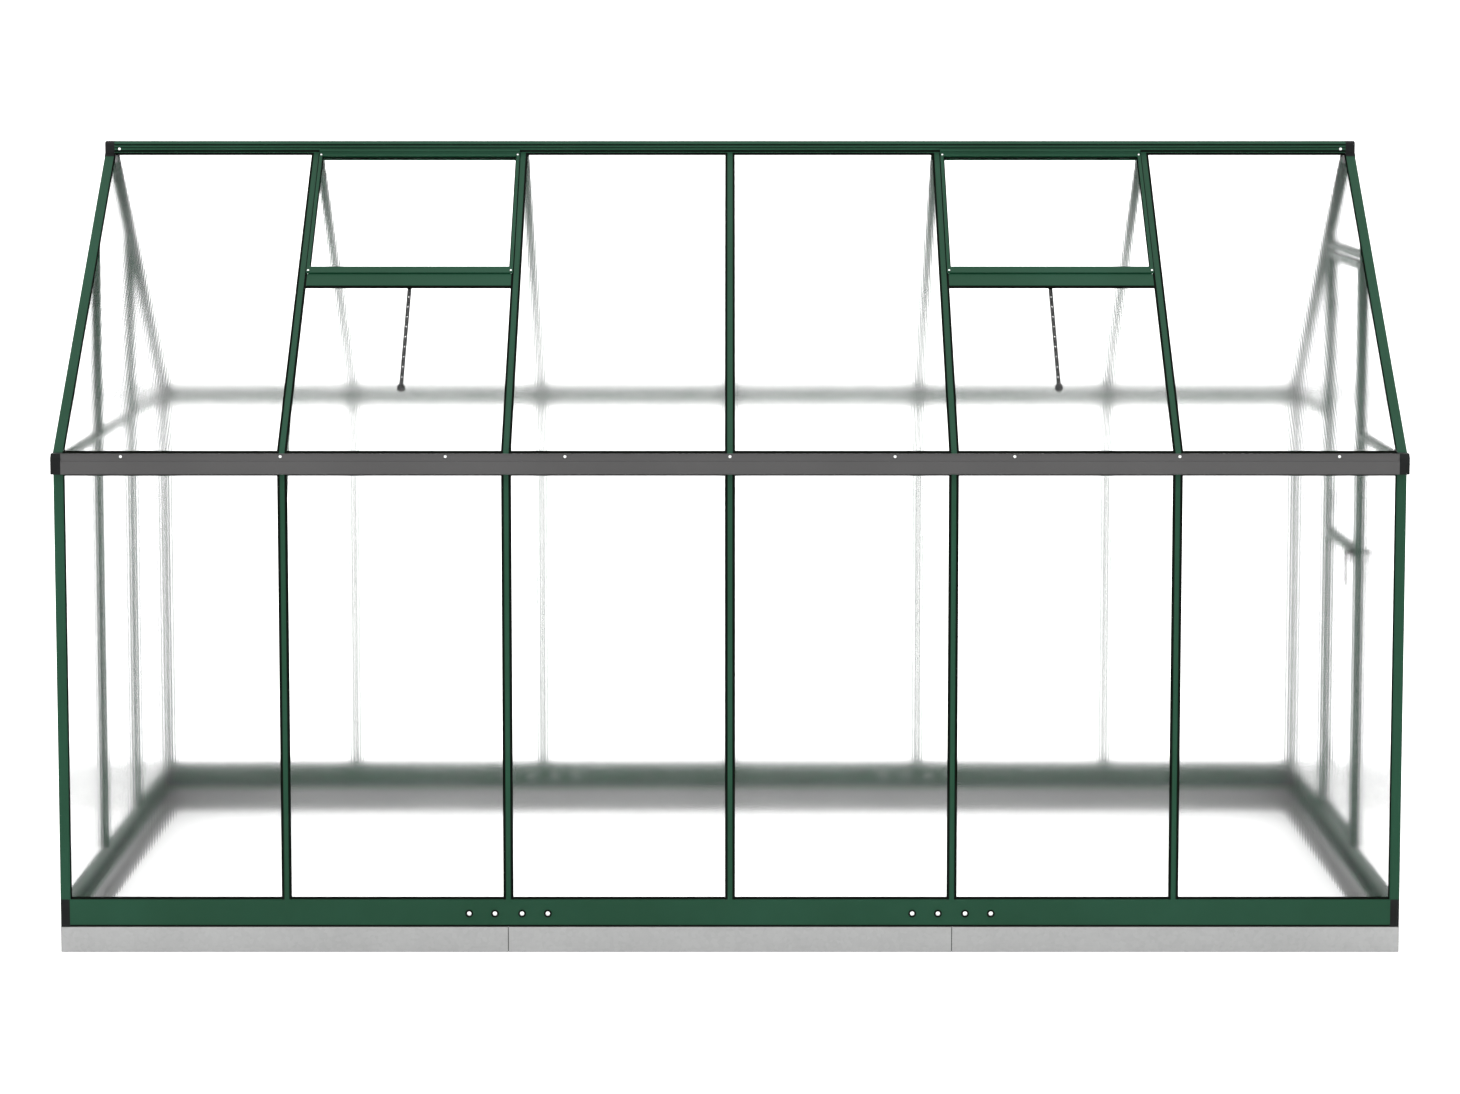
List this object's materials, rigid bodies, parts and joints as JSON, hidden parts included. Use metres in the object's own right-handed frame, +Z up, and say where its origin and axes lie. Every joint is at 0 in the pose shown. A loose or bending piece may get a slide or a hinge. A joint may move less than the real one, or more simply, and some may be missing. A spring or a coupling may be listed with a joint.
{
  "type": "greenhouse",
  "caption": "Walk-in apex greenhouse: green slotted-bar frame on a steel base, clear ribbed sheets, gutters, roof vents with stays and a hinged gable door.",
  "frame": {"origin": "on the ground at the middle of the base, between the four ground anchor holes", "axes": "+X along the ridge towards the door gable, -Y out of the front wall, +Z up"},
  "size_m": [3.786, 1.9808, 2.242],
  "materials": {
    "green_frame": "satin",
    "ground_base": "satin",
    "gutter": "satin",
    "black_plastic": "matte",
    "sheet": "gloss",
    "fasteners": "satin",
    "black_fittings": "satin"
  },
  "bodies": {
    "root": {"steel_base_front_left": "ground_base", "steel_base_front_mid": "ground_base", "steel_base_front_right": "ground_base", "steel_base_back_left": "ground_base", "steel_base_back_mid": "ground_base", "steel_base_back_right": "ground_base", "steel_base_gable_left": "ground_base", "steel_base_gable_door": "ground_base", "base_rail_front_left": "green_frame", "base_rail_front_mid": "green_frame", "base_rail_front_right": "green_frame", "base_rail_back_left": "green_frame", "base_rail_back_mid": "green_frame", "base_rail_back_right": "green_frame", "base_rail_gable_left": "green_frame", "base_rail_gable_door": "green_frame", "corner_posts": "green_frame", "wall_bars_front": "green_frame", "wall_bars_back": "green_frame", "eave_rails": "green_frame", "gutter_front_left": "gutter", "gutter_front_mid": "gutter", "gutter_front_right": "gutter", "gutter_back_left": "gutter", "gutter_back_mid": "gutter", "gutter_back_right": "gutter", "ridge_beam": "green_frame", "roof_bars_front": "green_frame", "roof_bars_back": "green_frame", "gable_rafters": "green_frame", "gable_posts": "green_frame", "door_posts": "green_frame", "gable_rails": "green_frame", "door_header": "green_frame", "vent_sills": "green_frame", "eave_brackets": "green_frame", "base_corner_caps": "black_plastic", "eave_corner_caps": "black_plastic", "ridge_end_caps": "black_plastic", "splice_plates": "ground_base", "wall_sheets_front": "sheet", "wall_sheets_back": "sheet", "roof_sheets_front": "sheet", "roof_sheets_back": "sheet", "gable_sheets_left": "sheet", "gable_sheets_door": "sheet", "base_bolts": "fasteners", "cover_screws": "fasteners", "hinge_pin_leaves": "black_fittings", "stay_brackets": "black_fittings"},
    "door": {"door_frame": "green_frame", "door_sheets": "sheet", "hinge_door_leaves": "black_fittings"},
    "latch": {"door_handle": "black_fittings"},
    "vent_left": {"vent_frame_left": "green_frame", "vent_sheet_left": "sheet", "vent_screws_left": "fasteners"},
    "vent_right": {"vent_frame_right": "green_frame", "vent_sheet_right": "sheet", "vent_screws_right": "fasteners"},
    "stay_left": {"stay_left": "black_fittings"},
    "stay_right": {"stay_right": "black_fittings"}
  },
  "joints": [
    {"name": "door_hinge", "type": "hinge", "parent": "root", "child": "door", "pos_m": [1.8805, 0.279, 1.02], "axis": [0, 0, 1], "range_deg": [0, 150]},
    {"name": "latch_turn", "type": "hinge", "parent": "door", "child": "latch", "pos_m": [1.874, -0.263, 1.033], "axis": [-1, 0, 0], "range_deg": [0, 90]},
    {"name": "vent_left_hinge", "type": "hinge", "parent": "root", "child": "vent_left", "pos_m": [-0.93, -0.03607, 2.21249], "axis": [-1, 0, 0], "range_deg": [0, 40]},
    {"name": "vent_right_hinge", "type": "hinge", "parent": "root", "child": "vent_right", "pos_m": [0.93, -0.03607, 2.21249], "axis": [-1, 0, 0], "range_deg": [0, 40]},
    {"name": "stay_left_swing", "type": "hinge", "parent": "root", "child": "stay_left", "pos_m": [-0.93, -0.40508, 1.83512], "axis": [1, 0, 0], "range_deg": [0, 130]},
    {"name": "stay_right_swing", "type": "hinge", "parent": "root", "child": "stay_right", "pos_m": [0.93, -0.40508, 1.83512], "axis": [1, 0, 0], "range_deg": [0, 130]}
  ]
}
